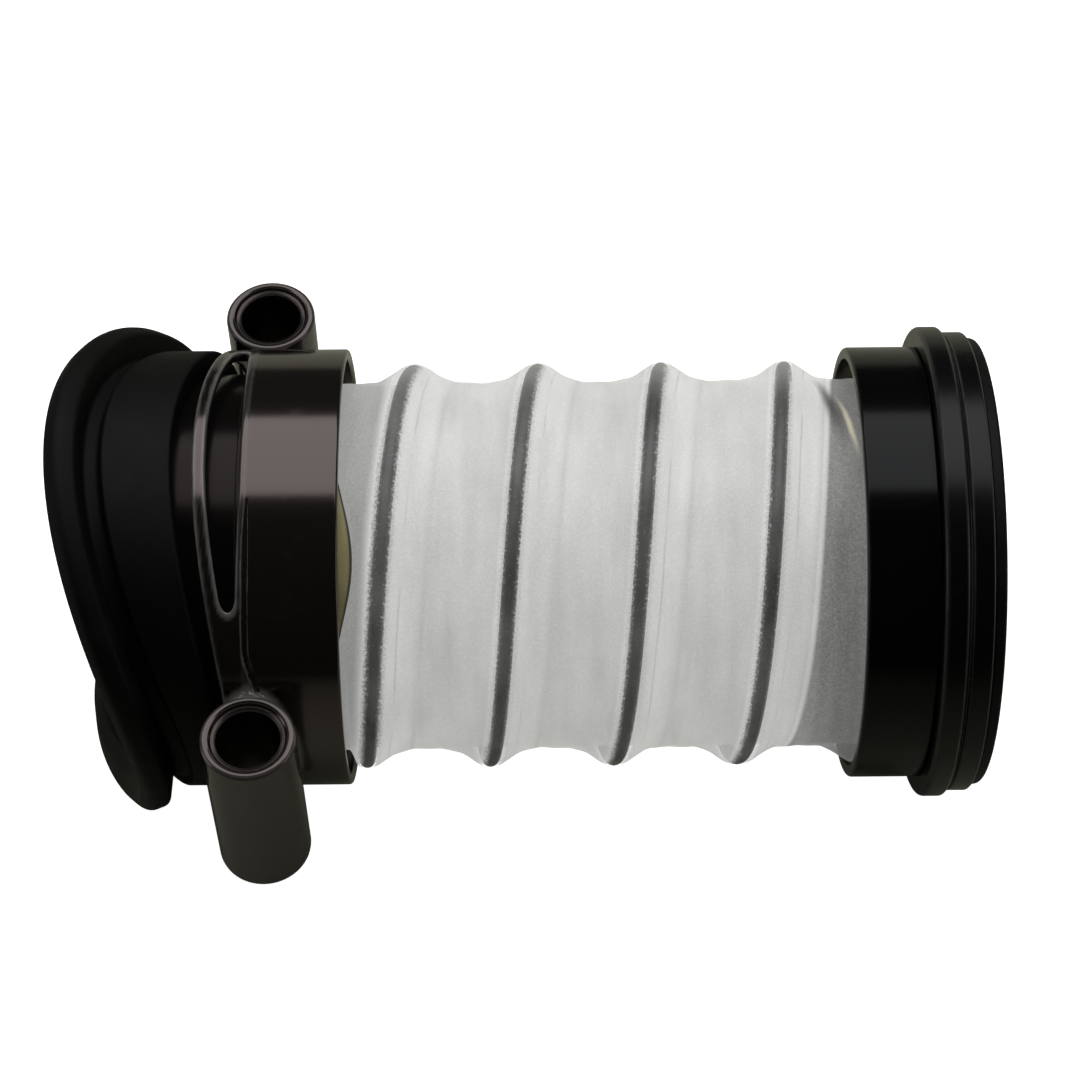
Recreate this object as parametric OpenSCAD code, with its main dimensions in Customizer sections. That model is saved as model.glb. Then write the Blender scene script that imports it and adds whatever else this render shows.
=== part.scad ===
/* [Hose] */
// Outer radius of the hose over its wire
hose_crest_r = 44; // [40:0.5:50]
// Distance from one turn of the wire to the next
wire_pitch = 26.7; // [20:0.1:34]
// Thickness of the reinforcing wire
wire_d = 3.2; // [2.4:0.1:3.4]
// Length of hose that shows between the two couplings
hose_free_l = 107.2; // [100:0.1:140]
// Length of hose next to each spigot that bends
bend_l = 21.5; // [18:0.5:26]

/* [Bayonet coupling] */
// Outer radius of the grip ring
ring_r = 47.3; // [46:0.1:50]
// Width of the grip ring, without its arches
ring_w = 19.9; // [18:0.1:24]
// How far the arches stand out in front of the ring
arch_reach = 10.1; // [8:0.1:12]
// Outer radius of a handle socket
socket_r = 9.8; // [9.4:0.1:11]
// Length of a handle socket
socket_l = 46.7; // [40:0.1:60]
// Bore radius of a handle socket's bush
bush_bore_r = 6.6; // [5:0.1:7]

/* [Rubber boot] */
// Outer radius of the rubber brim
brim_r = 52.6; // [50:0.1:55]
// Half the travel of the brim's wave along the hose
brim_wave = 9.2; // [4:0.1:9.6]
// How much further forward the brim reaches on the near side than on the far side, halved
brim_lean = 1.6; // [0:0.1:2]

/* [Outlet] */
// Outer radius of the cuff
cuff_r = 46.7; // [46:0.1:48]
// Outer radius of the swivel flange
flange_r = 51; // [50:0.1:54]

/* [Hidden] */
$fn = 96;
film_t = 0.6;
film_r = 40.1;
pipe_bore_r = 36.5;
spigot_r = film_r - film_t - 0.2;
wire_line_r = hose_crest_r - 0.2 - wire_d / 2;
wire_mark_x = 56.6;
wire_mark_angle = 38;
wire_steps_a_turn = 32;
wire_sides = 8;
wire_gap = 0.03;

stub_r = 42;
sleeve_wave = 4.2;
pocket_x = 4.8;
pocket_end = 7.2;
pocket_r = 43.4;
ring_x = 22.6;
rim_x = ring_x + ring_w;
ring_bore_r = 44.9;
land_r = stub_r + 0.4;
socket_x = 24;
socket_y = 54.2;
socket_top = 20.4;
bush_r = 7.7;

cuff_x = rim_x + hose_free_l;
flange_x = cuff_x + 15;
lock_x = flange_x + 5.9;
seal_x = lock_x + 4.5;
outlet_x = seal_x + 2.6;
journal_r = 41;

clamp_w = 3;
inlet_clamp_x = rim_x - 7.7;
outlet_clamp_x = cuff_x + 7.8;
clamp_screw_z = -42.4;

spigot_end = rim_x + 8;
outlet_spigot_x = cuff_x - 9;
bend_end = spigot_end + bend_l;
second_bend = outlet_spigot_x - bend_l;

// Everything round lies along X: a profile point is [radius, x].
module along_x() {
    rotate([0, 90, 0]) children();
}

module turned(profile) {
    along_x() rotate_extrude() polygon(profile);
}

module washer(inner, outer, from, to) {
    turned([[inner, from], [outer, from], [outer, to], [inner, to]]);
}

// A collar with its outer edges broken by a small chamfer.
module collar(inner, outer, from, to, edge = 0.6) {
    turned([
        [inner, from], [outer - edge, from], [outer, from + edge],
        [outer, to - edge], [outer - edge, to], [inner, to]
    ]);
}

module o_ring(line, section_r, x) {
    along_x() translate([0, 0, x]) rotate_extrude() translate([line, 0]) circle(section_r);
}

// Bayonet coupling: the fixed pipe and what sits on it

module pipe_stub() {
    color("#1d1a19")
        turned([
            [38.4, 0], [stub_r - 0.6, 0], [stub_r, 0.6],
            [stub_r, 21.3], [43, 21.3], [43, 22.3], [stub_r, 22.3],
            [stub_r, 24.2], [40.6, 24.2], [40.6, 26.2], [stub_r, 26.2],
            [stub_r, 29.6], [40.2, 29.6], [40.2, 30.8], [stub_r, 30.8],
            [stub_r, 32.6], [spigot_r, 34], [spigot_r, spigot_end - 1], [spigot_r - 0.8, spigot_end],
            [pipe_bore_r, spigot_end], [pipe_bore_r, 22], [38.4, 22]
        ]);
}

// Position of the brim's front edge along X at an angle round the hose. The wave reaches forward
// above and below the pipe, and the whole brim leans a little forward on the near side.
function brim_x(a) = -9.6 + brim_wave * cos(2 * a) + brim_lean * cos(a);

// Position of the sleeve's back edge, which waves in step with the brim.
function sleeve_x(a) = 12.4 + sleeve_wave * cos(2 * a);

// Boot section at one angle, as [x, radius] points: brim, channel, sleeve, then back inside past
// the pocket for the stiffener.
function boot_section(a) = let (x = brim_x(a), back = sleeve_x(a)) [
    [x, 46.6], [x + 0.4, 49.8], [x + 2, brim_r - 0.4], [x + 3.6, brim_r],
    [x + 5.2, brim_r - 0.8], [x + 6.4, 50], [x + 7.2, 47.4], [x + 8.4, 46.3],
    [x + 10.4, 46.4], [x + 11.2, 46.9], [back - 0.8, 47.1], [back, 46.4], [back, stub_r + 0.1],
    [pocket_end, stub_r + 0.1], [pocket_end, pocket_r], [pocket_x, pocket_r],
    [pocket_x, stub_r + 0.1], [x + 2.6, stub_r + 0.1], [x + 0.8, 43.6]
];

module rubber_boot() {
    rings = 48;
    size = len(boot_section(0));
    points = [
        for (i = [0:rings - 1], p = boot_section(360 * i / rings))
            [p[0], p[1] * cos(360 * i / rings), p[1] * sin(360 * i / rings)]
    ];
    faces = [
        for (i = [0:rings - 1], j = [0:size - 1])
            let (n = (i + 1) % rings, k = (j + 1) % size)
                [i * size + j, i * size + k, n * size + k, n * size + j]
    ];
    color("#0b0b0b") polyhedron(points, faces, convexity = 6);
}

// Stiff ring that lies in the boot's pocket and keeps the sleeve round.
module boot_stiffener() {
    color("#191615") washer(stub_r + 0.15, pocket_r - 0.1, pocket_x + 0.15, pocket_end - 0.15);
}

module ring_o_ring() {
    color("#101010") o_ring(41.5, 0.85, 25.2);
}

module ring_washer() {
    color("#d8d8d0") washer(stub_r + 0.15, 44.5, 28.4, 29.3);
}

// A snap ring has a gap that lets it open over the pipe.
module snap_ring(inner, outer, from, to) {
    difference() {
        washer(inner, outer, from, to);
        translate([from - 1, -3, -outer - 1]) cube([to - from + 2, 6, outer]);
    }
}

module ring_snap_ring() {
    color("#8d9092") snap_ring(40.3, 44.2, 29.7, 30.7);
}

// Worm clamp: a band and the housing that its screw turns in, which faces down.
module hose_clamp(x) {
    color("#b9bcbe") {
        washer(film_r + 0.15, film_r + 0.95, x, x + clamp_w);
        difference() {
            translate([x, -5, clamp_screw_z - 1.4]) cube([clamp_w, 10, 3]);
            at_clamp_screw(x) cylinder(r = 0.9, h = 12, center = true);
        }
    }
}

module at_clamp_screw(x) {
    translate([x + clamp_w / 2, 0, clamp_screw_z]) rotate([90, 0, 0]) children();
}

module clamp_screw(x) {
    color("#9a9da0") at_clamp_screw(x) {
        translate([0, 0, -4.8]) cylinder(r = 0.8, h = 10);
        translate([0, 0, 5.2]) cylinder(r = 1.2, h = 1.4);
    }
}

module inlet_clamp() {
    hose_clamp(inlet_clamp_x);
}

module inlet_clamp_screw() {
    clamp_screw(inlet_clamp_x);
}

module inlet_gasket() {
    color("#c9b46a") collar(film_r + 0.15, 43.9, rim_x - 3.4, rim_x + 1.9, 0.8);
}

// Hose: film and the wire that winds round it

module film(from, to) {
    color("#dcdcda") washer(film_r - film_t, film_r, from, to);
}

// The wire is left-handed: its angle falls as X grows.
function wire_angle(x) = wire_mark_angle - 360 * (x - wire_mark_x) / wire_pitch;

function wire_point(x, turn) = let (r = wire_line_r + wire_d / 2 * cos(turn), a = wire_angle(x))
    [x + wire_d / 2 * sin(turn), r * cos(a), r * sin(a)];

module wire(from, to) {
    steps = ceil((to - from) / wire_pitch * wire_steps_a_turn);
    points = [
        for (i = [0:steps], j = [0:wire_sides - 1])
            wire_point(from + (to - from) * i / steps, 360 * j / wire_sides)
    ];
    sides = [
        for (i = [0:steps - 1], j = [0:wire_sides - 1])
            let (k = (j + 1) % wire_sides)
                [i * wire_sides + j, (i + 1) * wire_sides + j,
                 (i + 1) * wire_sides + k, i * wire_sides + k]
    ];
    start = [for (j = [0:wire_sides - 1]) j];
    end = [for (j = [wire_sides - 1:-1:0]) steps * wire_sides + j];
    color("#77777a") polyhedron(points, concat([start], sides, [end]), convexity = 12);
}

module film_inlet() {
    film(rim_x - 8.4, bend_end);
}

module wire_inlet() {
    wire(rim_x + 3.9, bend_end - wire_gap);
}

module film_middle() {
    film(bend_end, second_bend);
}

module wire_middle() {
    wire(bend_end + wire_gap, second_bend - wire_gap);
}

module film_outlet() {
    film(second_bend, cuff_x + 11);
}

module wire_outlet() {
    wire(second_bend + wire_gap, cuff_x + 2.2);
}

// Grip ring: it turns on the pipe and carries the two handle sockets

// Flat outline between two arcs, seen along Z, whose front arc bows forward.
module bowed(front, bow_r, back) {
    intersection() {
        translate([front + bow_r, 0]) circle(bow_r, $fn = 360);
        translate([front, -60]) square([back - front, 120]);
    }
}

// Opening behind an arch: it lies between two shallow arcs and stops short of the sockets.
module slot(front, front_r, back, back_r, half_l) {
    intersection() {
        translate([front + front_r, 0]) circle(front_r, $fn = 360);
        translate([back - back_r, 0]) circle(back_r, $fn = 360);
        translate([front, -half_l]) square([back - front, 2 * half_l]);
    }
}

module arch_band() {
    front = ring_x - arch_reach;
    difference() {
        intersection() {
            washer(ring_bore_r, ring_r, front - 1, ring_x + 1);
            linear_extrude(120, center = true) bowed(front, 170, ring_x + 1);
        }
        linear_extrude(120, center = true) slot(front + 2.8, 153, ring_x - 0.1, 555, 33);
    }
}

module at_sockets() {
    for (side = [-1, 1])
        translate([socket_x, side * socket_y, socket_top - socket_l]) children();
}

// Handle socket with the edges of both ends broken.
module socket_tube() {
    edge = 0.8;
    rotate_extrude() polygon([
        [0, 0], [socket_r - edge, 0], [socket_r, edge],
        [socket_r, socket_l - edge], [socket_r - edge, socket_l], [0, socket_l]
    ]);
}

// Web that joins a socket to the ring behind it, no higher than a low step on the ring.
module socket_web() {
    intersection() {
        for (side = [-1, 1])
            translate([socket_x, side * 50 - 6, socket_top - socket_l]) cube([11, 12, socket_l - 8]);
        along_x() cylinder(r = ring_r + 0.6, h = 60);
    }
}

module grip_ring() {
    color("#2b2422")
        difference() {
            union() {
                turned([
                    [land_r, ring_x], [ring_r - 0.5, ring_x], [ring_r, ring_x + 0.5],
                    [ring_r, rim_x - 1], [ring_r - 1, rim_x], [ring_bore_r, rim_x],
                    [ring_bore_r, 28.1], [land_r, 28.1]
                ]);
                arch_band();
                at_sockets() socket_tube();
                socket_web();
            }
            along_x() translate([0, 0, 28.1]) cylinder(r = ring_bore_r, h = 30);
            along_x() translate([0, 0, -5]) cylinder(r = land_r, h = 60);
            along_x() translate([0, 0, -5]) cylinder(r = ring_bore_r, h = ring_x + 5);
            at_sockets() translate([0, 0, -1]) cylinder(r = bush_r, h = socket_l + 2);
        }
}

// Bush that lines a handle socket, a little below its mouth.
module socket_bush(side) {
    color("#1b1716")
        translate([socket_x, side * socket_y, socket_top - socket_l])
            difference() {
                cylinder(r = bush_r - 0.05, h = socket_l - 1.2);
                translate([0, 0, -1]) cylinder(r = bush_bore_r, h = socket_l + 2);
            }
}

module near_bush() {
    socket_bush(-1);
}

module far_bush() {
    socket_bush(1);
}

// Outlet: the cuff on the hose end and its spigot

module cuff() {
    web_x = flange_x - 2.4;
    color("#0d0e11")
        turned([
            [44.2, cuff_x], [cuff_r - 1, cuff_x], [cuff_r, cuff_x + 1],
            [cuff_r, flange_x - 0.3], [43.6, flange_x - 0.3], [43.6, web_x], [44.2, web_x]
        ]);
}

module outlet_spigot() {
    groove = lock_x + 0.2;
    color("#1a1b1e")
        turned([
            [spigot_r - 0.8, outlet_spigot_x], [spigot_r, outlet_spigot_x + 1],
            [spigot_r, flange_x - 2.4], [43.5, flange_x - 2.4], [43.5, flange_x - 0.3],
            [journal_r, flange_x - 0.3], [journal_r, flange_x + 2.4],
            [39.6, flange_x + 2.4], [39.6, flange_x + 4.4], [journal_r, flange_x + 4.4],
            [journal_r, groove], [39.6, groove], [39.6, groove + 1.2], [journal_r, groove + 1.2],
            [journal_r, groove + 2.6], [pipe_bore_r, groove + 2.6], [pipe_bore_r, outlet_spigot_x]
        ]);
}

module outlet_gasket() {
    color("#c9b46a") collar(film_r + 0.15, 43.9, cuff_x + 4.6, cuff_x + 7.6);
}

module outlet_clamp() {
    hose_clamp(outlet_clamp_x);
}

module outlet_clamp_screw() {
    clamp_screw(outlet_clamp_x);
}

module swivel_o_ring() {
    color("#101010") o_ring(40.5, 0.85, flange_x + 3.4);
}

module swivel_washer() {
    color("#d8d8d0") washer(journal_r + 0.15, 43.4, flange_x + 5.1, flange_x + 5.9);
}

module swivel_snap_ring() {
    color("#8d9092") snap_ring(39.7, 43.2, lock_x + 0.3, lock_x + 1.3);
}

// Swivel: flange, lock ring and seal turn together on the spigot

module swivel_flange() {
    web_back = flange_x + 4.9;
    color("#121214")
        turned([
            [journal_r + 0.4, flange_x], [flange_r - 1.6, flange_x], [flange_r, flange_x + 1.6],
            [flange_r, flange_x + 4], [flange_r - 1.2, lock_x - 0.6], [flange_r - 1.2, lock_x],
            [44.2, lock_x], [44.2, web_back], [journal_r + 0.4, web_back]
        ]);
}

module lock_ring() {
    color("#141416") collar(44.2, flange_r - 1.2, lock_x, seal_x, 0.5);
}

module face_seal() {
    color("#0c0c0c")
        turned([
            [38.5, seal_x], [48.3, seal_x], [48.8, seal_x + 0.8],
            [48.2, outlet_x], [45, outlet_x], [44, outlet_x - 1], [38.5, outlet_x - 1]
        ]);
}

pipe_stub();
rubber_boot();
boot_stiffener();
ring_o_ring();
ring_washer();
ring_snap_ring();
inlet_clamp();
inlet_clamp_screw();
inlet_gasket();
film_inlet();
wire_inlet();
grip_ring();
near_bush();
far_bush();
film_middle();
wire_middle();
film_outlet();
wire_outlet();
cuff();
outlet_spigot();
outlet_gasket();
outlet_clamp();
outlet_clamp_screw();
swivel_o_ring();
swivel_washer();
swivel_snap_ring();
swivel_flange();
lock_ring();
face_seal();
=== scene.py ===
"""Looks for a short sewer hose with a bayonet coupling, a rubber boot, handle sockets and a swivel flange.

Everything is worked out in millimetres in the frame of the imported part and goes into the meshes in
metres: X runs along the hose to the outlet, Z along the handle sockets to their mouths. An angle
round the hose starts at +Y and turns towards +Z.
"""

import logging
from dataclasses import dataclass
from enum import Enum
from typing import Any, Union

import bpy
import numpy as np
from mathutils import Matrix


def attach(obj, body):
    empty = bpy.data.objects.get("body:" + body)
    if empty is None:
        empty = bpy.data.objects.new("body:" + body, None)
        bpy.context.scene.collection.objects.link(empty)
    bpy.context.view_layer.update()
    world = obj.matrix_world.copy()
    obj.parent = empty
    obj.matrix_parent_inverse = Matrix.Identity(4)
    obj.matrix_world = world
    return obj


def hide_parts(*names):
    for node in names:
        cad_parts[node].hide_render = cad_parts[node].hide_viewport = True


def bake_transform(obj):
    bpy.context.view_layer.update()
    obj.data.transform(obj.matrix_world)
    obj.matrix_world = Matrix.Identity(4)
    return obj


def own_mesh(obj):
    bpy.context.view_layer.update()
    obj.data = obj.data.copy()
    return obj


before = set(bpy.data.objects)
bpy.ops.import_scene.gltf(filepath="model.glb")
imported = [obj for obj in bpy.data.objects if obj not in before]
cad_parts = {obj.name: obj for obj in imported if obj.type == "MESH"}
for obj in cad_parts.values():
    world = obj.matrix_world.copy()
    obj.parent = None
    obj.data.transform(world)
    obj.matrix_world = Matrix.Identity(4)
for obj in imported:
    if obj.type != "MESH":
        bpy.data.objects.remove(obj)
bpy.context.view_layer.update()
MM = 0.001
WIRE_PITCH = 26.7
GASKET_BORE_R, GASKET_R = 40.25, 43.9
ARC_STEPS, GASKET_ARC_STEPS = 6, 5
EDGE_MIN = 0.18
EDGE_FULL = 0.45
PROBE = 0.5
Array = np.ndarray
log = logging.getLogger("sewer_hose")


class Body(Enum):
    """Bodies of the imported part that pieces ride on."""

    INLET = "inlet_coupling"
    GRIP = "grip"
    FIRST_HALF = "hose_first_half"
    SECOND_HALF = "hose_second_half"
    OUTLET = "outlet_coupling"
    SWIVEL = "swivel"


class Slot(Enum):
    """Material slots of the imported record."""

    PIPE = "pipe_plastic"
    BOOT = "boot_rubber"
    GASKET = "gasket_cream"
    FILM = "hose_film"
    WIRE = "hose_wire"
    GRIP = "grip_plastic"
    BUSH = "bush_plastic"
    CUFF = "cuff_plastic"
    FLANGE = "flange_plastic"
    SEAL = "seal_rubber"


class Axis(Enum):
    """Direction that a turned piece is turned about."""

    HOSE = "x"
    SOCKET = "z"


# ---------------------------------------------------------------- shapes


def unit(vectors: Array) -> Array:
    """Scales vectors along the last axis to length one.

    Args:
        vectors: Array whose last axis holds the components.

    Returns:
        The same directions with length one.
    """
    return vectors / np.maximum(np.linalg.norm(vectors, axis=-1, keepdims=True), 1e-12)


def ease(value: Array, low: float, high: float) -> Array:
    """Smooth step: 0 below low, 1 above high, 3t^2 - 2t^3 of the share in between.

    Args:
        value: Numbers to ease.
        low: Where the step starts.
        high: Where the step ends.

    Returns:
        The eased shares.
    """
    t = np.clip((value - low) / (high - low), 0.0, 1.0)
    return t * t * (3.0 - 2.0 * t)


def soft_min(a: Array, b: Array, k: float) -> Array:
    """Lower of two distances with a fillet of about k: min(a, b) - h^2 k / 4, h = 1 - |a - b| / k.

    Args:
        a: First distances.
        b: Second distances.
        k: Width over which the two melt together.

    Returns:
        The filleted lower distance.
    """
    h = np.maximum(k - np.abs(a - b), 0.0) / k
    return np.minimum(a, b) - h * h * k * 0.25


def soft_max(a: Array, b: Array, k: float) -> Array:
    """Upper of two distances with a rounded edge of about k, the mirror of soft_min.

    Args:
        a: First distances.
        b: Second distances.
        k: Width over which the edge is rounded.

    Returns:
        The rounded upper distance.
    """
    return -soft_min(-a, -b, k)


@dataclass
class Surface:
    """A mesh in millimetres: points, four-cornered faces, and where they are known normals and UVs.

    Edge holds how much each point lies on a rounded edge, from 0 to 1.
    """

    points: Array
    faces: Array
    normals: Array | None = None
    uv: Array | None = None
    edge: Array | None = None

    def joined(self, *others: "Surface") -> "Surface":
        """Puts this surface and others, all with normals and edges, together.

        Args:
            others: Surfaces to add.

        Returns:
            One surface that holds them all.
        """
        parts = [self, *others]
        starts = np.cumsum([0] + [len(p.points) for p in parts[:-1]])
        return Surface(
            np.concatenate([p.points for p in parts]),
            np.concatenate([p.faces + s for p, s in zip(parts, starts)]),
            np.concatenate([p.normals for p in parts]),
            edge=np.concatenate([p.edge for p in parts]),
        )

    def facing_out(self) -> "Surface":
        """Turns all faces over if they point against the known normals, or inwards without them.

        Returns:
            The surface itself.
        """
        a, b, c, d = (self.points[self.faces[:, i]] for i in range(4))
        across = np.cross(c - a, d - b)
        if self.normals is not None:
            agree = np.sum(across * self.normals[self.faces].sum(axis=1))
        else:
            agree = np.sum(across * (a + c))
        if agree < 0:
            self.faces = self.faces[:, ::-1]
            if self.uv is not None:
                self.uv = self.uv[:, ::-1]
        return self

    def to_object(self, name: str) -> bpy.types.Object:
        """Puts the surface into a Blender mesh at the origin.

        Args:
            name: Name of the object and its mesh.

        Returns:
            The linked object.
        """
        self.facing_out()
        mesh = bpy.data.meshes.new(name)
        mesh.vertices.add(len(self.points))
        mesh.vertices.foreach_set("co", (self.points * MM).astype(np.float32).ravel())
        mesh.loops.add(self.faces.size)
        mesh.loops.foreach_set("vertex_index", self.faces.astype(np.int32).ravel())
        mesh.polygons.add(len(self.faces))
        mesh.polygons.foreach_set("loop_start", np.arange(0, self.faces.size, 4, dtype=np.int32))
        mesh.polygons.foreach_set("use_smooth", np.ones(len(self.faces), bool))
        mesh.update(calc_edges=True)
        if self.uv is not None:
            layer = mesh.uv_layers.new(name="lay")
            layer.data.foreach_set("uv", self.uv.astype(np.float32).ravel())
        if self.edge is not None:
            wear_and_painted_edge_highlight = mesh.attributes.new("edge", "FLOAT", "POINT")
            wear_and_painted_edge_highlight.data.foreach_set("value", self.edge.astype(np.float32))
        if self.normals is not None:
            mesh.normals_split_custom_set_from_vertices(unit(self.normals).tolist())
        thing = bpy.data.objects.new(name, mesh)
        bpy.context.scene.collection.objects.link(thing)
        return thing


def quads(rows: int, columns: int, close_rows: bool, close_columns: bool) -> Array:
    """Faces of a grid of rows by columns points, numbered row by row.

    Args:
        rows: Number of rows.
        columns: Number of columns.
        close_rows: Whether the last row joins the first.
        close_columns: Whether the last column joins the first.

    Returns:
        Point numbers, four to a face.
    """
    i = np.arange(rows if close_rows else rows - 1)[:, None]
    j = np.arange(columns if close_columns else columns - 1)[None, :]
    i2, j2 = (i + 1) % rows, (j + 1) % columns
    corners = [i * columns + j, i * columns + j2, i2 * columns + j2, i2 * columns + j]
    return np.stack(corners, axis=-1).reshape(-1, 4)


def corner_area(corners: Array) -> float:
    """Twice the signed area of outlines, summed: the cross product of each corner and the next.

    Args:
        corners: Outline corners, shape (..., m, 2 or more).

    Returns:
        A positive number for outlines that run anticlockwise.
    """
    ahead_x, ahead_y = np.moveaxis(np.roll(corners[..., :2], -1, axis=-2), -1, 0)
    return float(np.sum(corners[..., 0] * ahead_y - corners[..., 1] * ahead_x))


def round_corners(corners: Array, radii: Array, steps: int = ARC_STEPS) -> tuple[Array, Array]:
    """Rounds the corners of closed outlines in the plane.

    At a corner that turns by an angle, an arc of the given radius leaves the side before it
    radius x tan(angle / 2) ahead of the corner, and its points are the centre plus the radius
    times the outward normal, turned in even steps.

    Args:
        corners: Outline corners, shape (..., m, 2), in either sense.
        radii: Radius of each corner, shape (m,).
        steps: Points on each arc.

    Returns:
        The points and outward normals, each of shape (..., m x steps, 2).
    """
    if corner_area(corners) < 0:
        corners, radii = corners[..., ::-1, :], radii[::-1]
    before = unit(corners - np.roll(corners, 1, axis=-2))
    after = np.roll(before, -1, axis=-2)
    turn = np.arctan2(
        before[..., 0] * after[..., 1] - before[..., 1] * after[..., 0],
        np.sum(before * after, axis=-1),
    )
    outward = np.stack([before[..., 1], -before[..., 0]], axis=-1)
    reach = radii * np.tan(np.abs(turn) / 2)
    arm = (radii * np.sign(turn))[..., None]
    centre = corners - before * reach[..., None] - outward * arm
    angle = turn[..., None] * np.linspace(0.0, 1.0, steps)
    ox, oy = outward[..., 0, None], outward[..., 1, None]
    normals = np.stack(
        [ox * np.cos(angle) - oy * np.sin(angle), ox * np.sin(angle) + oy * np.cos(angle)], axis=-1
    )
    points = centre[..., None, :] + normals * arm[..., None]
    shape = (*corners.shape[:-2], -1, 2)
    return points.reshape(shape), normals.reshape(shape)


def turned(
    outline: list[tuple[float, float, float]],
    axis: Axis = Axis.HOSE,
    centre: tuple[float, float] = (0.0, 0.0),
    sides: int = 192,
) -> Surface:
    """Turns a rounded outline about an axis.

    A point of the outline at height h and radius r goes to h along the axis and to r cos t,
    r sin t across it; its normal turns with it.

    Args:
        outline: Corners as (height along the axis, radius, corner radius).
        axis: Axis to turn about.
        centre: Where the axis crosses the plane across it: (x, y) for a socket.
        sides: Steps round the axis.

    Returns:
        The closed ring.
    """
    corners = np.array(outline, float)
    points, normals = round_corners(corners[:, :2], corners[:, 2])
    t = np.linspace(0, 2 * np.pi, sides, endpoint=False)[:, None]
    made = []
    for h, r in ((points[:, 0], points[:, 1]), (normals[:, 0], normals[:, 1])):
        across, up, along = r * np.cos(t), r * np.sin(t), np.broadcast_to(h, (sides, len(h)))
        order = (along, across, up) if axis is Axis.HOSE else (across, up, along)
        made.append(np.stack(order, axis=-1).reshape(-1, 3))
    if axis is Axis.SOCKET:
        made[0] += np.array([centre[0], centre[1], 0.0])
    steps = len(points) // len(corners)
    share = np.where(corners[:, 2:] > EDGE_MIN, np.minimum(EDGE_FULL / corners[:, 2:], 1.0), 0.0)
    rounded = np.sin(np.linspace(0.0, np.pi, steps)) ** 3 * share
    if corner_area(corners) < 0:
        rounded = rounded[::-1]
    edge = np.tile(rounded.ravel(), sides)
    return Surface(made[0], quads(sides, len(points), True, True), made[1], edge=edge)


def waved(section: list[tuple[Array, float, float]], a: Array, steps: int) -> Surface:
    """Carries a rounded section round the hose while its corners move along it.

    A point of the section at x and radius r goes to x, r cos a, r sin a for each angle a.

    Args:
        section: Corners as (positions along the hose for each angle, radius, corner radius).
        a: Angles round a full turn, without its end.
        steps: Points on each rounded corner.

    Returns:
        The closed ring, its points angle by angle.
    """
    corners = np.stack([np.stack([x, np.full_like(a, r)], axis=-1) for x, r, _ in section], axis=1)
    flat, _ = round_corners(corners, np.array([corner[2] for corner in section]), steps)
    x, r = flat[..., 0], flat[..., 1]
    points = np.stack([x, r * np.cos(a)[:, None], r * np.sin(a)[:, None]], axis=-1)
    return Surface(points.reshape(-1, 3), quads(len(a), x.shape[1], True, True))


def surface_net(field: "GripField", x: Array, a: Array, r: Array) -> Surface:
    """Meshes where a field of distances is zero, on a grid of x, angle and radius round the hose.

    Each cell that the surface crosses gets one point, the mean of the crossings on its edges.
    Four cells round a crossed grid edge make a face. The points then slide along the slope of
    the field onto its zero, p - d g / |g|^2, three times, and take the slope as their normal.
    Where a point half a millimetre below is nearer than that to the outside, there is an edge.

    Args:
        field: Distances to mesh.
        x: Grid positions along the hose.
        a: Grid angles round a full turn, without its end.
        r: Grid radii.

    Returns:
        The closed surface with its normals.
    """
    gx, ga, gr = np.meshgrid(x, a, r, indexing="ij")
    values = field.distance(np.stack([gx, gr * np.cos(ga), gr * np.sin(ga)], axis=-1))
    wrapped = np.concatenate([values, values[:, :1]], axis=1)
    nx, na, nr = len(x) - 1, len(a), len(r) - 1
    corner = {
        (i, j, k): wrapped[i : nx + i, j : na + j, k : nr + k]
        for i in (0, 1)
        for j in (0, 1)
        for k in (0, 1)
    }
    filled = sum((c < 0).astype(np.int8) for c in corner.values())
    active = (filled > 0) & (filled < 8)
    total = np.zeros((int(active.sum()), 3))
    count = np.zeros(len(total))
    for first in corner:
        for step in range(3):
            if first[step]:
                continue
            second = tuple(v + (n == step) for n, v in enumerate(first))
            v0, v1 = corner[first][active], corner[second][active]
            crossed = (v0 < 0) != (v1 < 0)
            share = np.where(crossed, v0 / np.where(crossed, v0 - v1, 1.0), 0.0)
            place = np.array(first, float) + share[:, None] * np.eye(3)[step]
            total += np.where(crossed[:, None], place, 0.0)
            count += crossed
    where = np.stack(np.nonzero(active), axis=-1) + total / count[:, None]
    px = np.interp(where[:, 0], np.arange(len(x)), x)
    pa = a[0] + where[:, 1] * (a[1] - a[0])
    pr = np.interp(where[:, 2], np.arange(len(r)), r)
    points = np.stack([px, pr * np.cos(pa), pr * np.sin(pa)], axis=-1)

    number = np.full(active.shape, -1)
    number[active] = np.arange(len(points))
    inside = values < 0
    faces = []
    for step in range(3):
        low = inside[:-1] if step == 0 else inside
        high = inside[1:] if step == 0 else np.roll(inside, -1, axis=1)
        if step == 2:
            low, high = inside[:, :, :-1], inside[:, :, 1:]
        i, j, k = np.nonzero(low != high)
        sense = low[i, j, k]
        b, c = [n for n in range(3) if n != step]
        cells = []
        for db, dc in ((-1, -1), (0, -1), (0, 0), (-1, 0)):
            at = [i.copy(), j.copy(), k.copy()]
            at[b] = at[b] + db
            at[c] = at[c] + dc
            cells.append(number[at[0], at[1] % na, at[2]])
        face = np.stack(cells, axis=-1)
        if step == 1:
            sense = ~sense
        faces.append(np.where(sense[:, None], face, face[:, ::-1]))
    for _ in range(3):
        slope = field.slope(points)
        d = field.distance(points)
        points = points - slope * (d / np.maximum(np.sum(slope * slope, axis=-1), 0.2))[:, None]
    normals = unit(field.slope(points))
    depth = -field.distance(points - PROBE * normals)
    edge = np.clip((0.9 * PROBE - depth) / 0.11, 0.0, 1.0)
    return Surface(points, np.concatenate(faces), normals, edge=edge)


# ---------------------------------------------------------------- shader maths


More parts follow.
